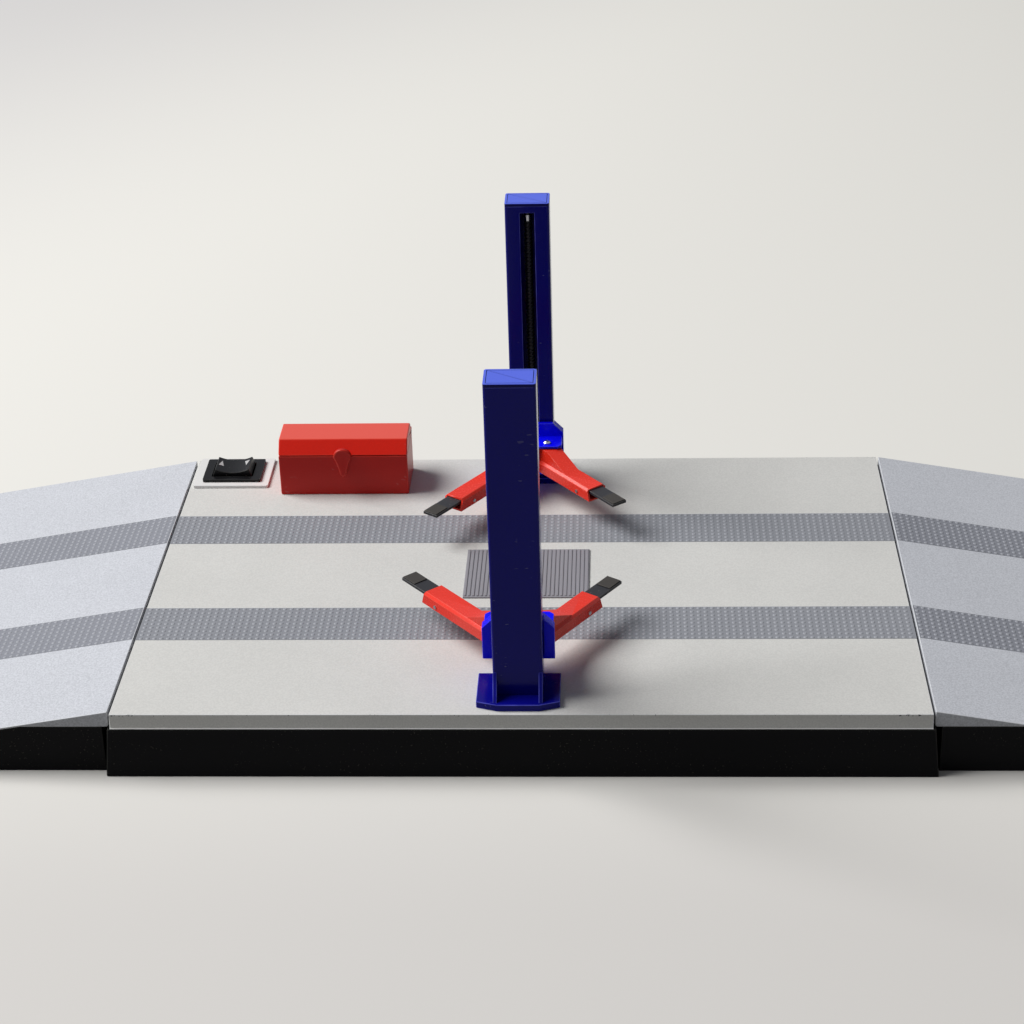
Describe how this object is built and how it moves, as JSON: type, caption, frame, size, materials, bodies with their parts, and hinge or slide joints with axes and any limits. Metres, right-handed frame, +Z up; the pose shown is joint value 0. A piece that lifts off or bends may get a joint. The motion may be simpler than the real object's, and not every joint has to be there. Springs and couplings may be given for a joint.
{
  "type": "toy two-post car lift",
  "caption": "Toy two-post car lift: platform with pull-off ramps, screw-driven carriages with swinging telescopic arms, rocker switch and toolbox.",
  "frame": {"origin": "on the ground under the middle of the platform", "axes": "+X runs along the lane to the right ramp, +Y to the rear post, +Z up"},
  "size_m": [0.704, 0.2538, 0.1837],
  "materials": {
    "base_black": "satin moulded plastic",
    "deck_grey": "fine pebble grain",
    "ramp_grey": "fine pebble grain",
    "tread_grey": "raised tread studs",
    "rib_grey": "fine ribs",
    "post_navy": "gloss",
    "carriage_blue": "gloss",
    "arm_red": "gloss",
    "toolbox_red": "gloss",
    "extension_black": "satin",
    "pad_rubber": "matt",
    "switch_black": "gloss",
    "plinth_grey": "satin",
    "screw_steel": "turned",
    "motor_steel": "drawn can",
    "bush_brass": "turned",
    "pulley_white": "moulded nylon",
    "belt_rubber": "matt",
    "cell_wrap": "printed sleeve, left plain",
    "wire_red": "insulated wire"
  },
  "bodies": {
    "platform": {"base_tub": "base_black", "deck_plate": "deck_grey", "deck_tread_strips": "tread_grey", "centre_plate": "rib_grey", "deck_screws": "screw_steel", "battery_case": "base_black", "battery_cells": "cell_wrap", "motor": "motor_steel", "timing_belt": "belt_rubber", "screw_bushes": "bush_brass", "wiring": "wire_red", "front_post": "post_navy", "rear_post": "post_navy", "front_post_cap": "post_navy", "rear_post_cap": "post_navy", "front_foot": "post_navy", "rear_foot": "post_navy", "foot_screws": "screw_steel", "switch_plinth": "plinth_grey", "switch_housing": "switch_black", "toolbox_body": "toolbox_red", "toolbox_hinge_pin": "screw_steel"},
    "front_lift": {"front_carriage": "carriage_blue", "front_lift_nut": "bush_brass", "front_pivot_screws": "screw_steel"},
    "rear_lift": {"rear_carriage": "carriage_blue", "rear_lift_nut": "bush_brass", "rear_pivot_screws": "screw_steel"},
    "front_screw": {"front_lead_screw": "screw_steel", "front_drive_pulley": "pulley_white"},
    "rear_screw": {"rear_lead_screw": "screw_steel", "rear_pulley": "pulley_white"},
    "motor_pinion": {"motor_pinion": "bush_brass"},
    "switch_rocker": {"switch_rocker": "switch_black"},
    "toolbox_lid": {"toolbox_lid": "toolbox_red", "toolbox_clasp": "toolbox_red"},
    "battery_door": {"battery_door": "base_black"},
    "left_ramp": {"left_ramp_base": "base_black", "left_ramp_deck": "ramp_grey", "left_ramp_treads": "tread_grey"},
    "right_ramp": {"right_ramp_base": "base_black", "right_ramp_deck": "ramp_grey", "right_ramp_treads": "tread_grey"},
    "front_left_arm": {"front_left_arm": "arm_red", "front_left_stop_pin": "screw_steel"},
    "front_left_extension": {"front_left_extension": "extension_black", "front_left_pad": "pad_rubber"},
    "front_right_arm": {"front_right_arm": "arm_red", "front_right_stop_pin": "screw_steel"},
    "front_right_extension": {"front_right_extension": "extension_black", "front_right_pad": "pad_rubber"},
    "rear_left_arm": {"rear_left_arm": "arm_red", "rear_left_stop_pin": "screw_steel"},
    "rear_left_extension": {"rear_left_extension": "extension_black", "rear_left_pad": "pad_rubber"},
    "rear_right_arm": {"rear_right_arm": "arm_red", "rear_right_stop_pin": "screw_steel"},
    "rear_right_extension": {"rear_right_extension": "extension_black", "rear_right_pad": "pad_rubber"}
  },
  "joints": [
    {"name": "front_lift_travel", "type": "slide", "parent": "platform", "child": "front_lift", "axis": [0, 0, 1], "range_m": [-0.0085, 0.11]},
    {"name": "rear_lift_travel", "type": "slide", "parent": "platform", "child": "rear_lift", "axis": [0, 0, 1], "range_m": [-0.0085, 0.11]},
    {"name": "front_screw_turn", "type": "hinge", "parent": "platform", "child": "front_screw", "pos_m": [0, -0.1046, 0.03], "axis": [0, 0, 1], "continuous": true},
    {"name": "rear_screw_turn", "type": "hinge", "parent": "platform", "child": "rear_screw", "pos_m": [0, 0.1046, 0.03], "axis": [0, 0, 1], "continuous": true},
    {"name": "motor_shaft_turn", "type": "hinge", "parent": "platform", "child": "motor_pinion", "pos_m": [0.022, -0.1046, 0.017], "axis": [0, 0, 1], "continuous": true},
    {"name": "front_left_arm_swing", "type": "hinge", "parent": "front_lift", "child": "front_left_arm", "pos_m": [-0.00775, -0.0861, 0.0469], "axis": [0, 0, -1], "range_deg": [-34, 38]},
    {"name": "front_left_arm_reach", "type": "slide", "parent": "front_left_arm", "child": "front_left_extension", "axis": [-0.6508, 0.7593, 0], "range_m": [-0.006, 0.008]},
    {"name": "front_right_arm_swing", "type": "hinge", "parent": "front_lift", "child": "front_right_arm", "pos_m": [0.00775, -0.0861, 0.0469], "axis": [0, 0, 1], "range_deg": [-40, 33]},
    {"name": "front_right_arm_reach", "type": "slide", "parent": "front_right_arm", "child": "front_right_extension", "axis": [0.5721, 0.8202, 0], "range_m": [-0.006, 0.008]},
    {"name": "rear_left_arm_swing", "type": "hinge", "parent": "rear_lift", "child": "rear_left_arm", "pos_m": [-0.00775, 0.0861, 0.0469], "axis": [0, 0, 1], "range_deg": [-40, 33]},
    {"name": "rear_left_arm_reach", "type": "slide", "parent": "rear_left_arm", "child": "rear_left_extension", "axis": [-0.575, -0.8181, 0], "range_m": [-0.006, 0.008]},
    {"name": "rear_right_arm_swing", "type": "hinge", "parent": "rear_lift", "child": "rear_right_arm", "pos_m": [0.00775, 0.0861, 0.0469], "axis": [0, 0, -1], "range_deg": [-37, 36]},
    {"name": "rear_right_arm_reach", "type": "slide", "parent": "rear_right_arm", "child": "rear_right_extension", "axis": [0.6143, -0.7891, 0], "range_m": [-0.006, 0.008]},
    {"name": "switch_rock", "type": "hinge", "parent": "platform", "child": "switch_rocker", "pos_m": [-0.1585, 0.107, 0.0323], "axis": [0, 1, 0], "range_deg": [-9, 9], "stiffness_Nm_per_rad": 0.03},
    {"name": "toolbox_lid_hinge", "type": "hinge", "parent": "platform", "child": "toolbox_lid", "pos_m": [-0.0974, 0.1142, 0.0528], "axis": [-1, 0, 0], "range_deg": [0, 95]},
    {"name": "battery_door_slide", "type": "slide", "parent": "platform", "child": "battery_door", "axis": [1, 0, 0], "range_m": [0, 0.03]},
    {"name": "left_ramp_pull", "type": "slide", "parent": "platform", "child": "left_ramp", "axis": [-1, 0, 0], "range_m": [0, 0.05]},
    {"name": "right_ramp_pull", "type": "slide", "parent": "platform", "child": "right_ramp", "axis": [1, 0, 0], "range_m": [0, 0.05]}
  ],
  "couplings": [
    {"joint": "rear_lift_travel", "follows": "front_lift_travel", "ratio": 1},
    {"joint": "front_screw_turn", "follows": "front_lift_travel", "rad_per_m": -1047.2},
    {"joint": "rear_screw_turn", "follows": "front_lift_travel", "rad_per_m": -1047.2},
    {"joint": "motor_shaft_turn", "follows": "front_lift_travel", "rad_per_m": 2792.5}
  ]
}
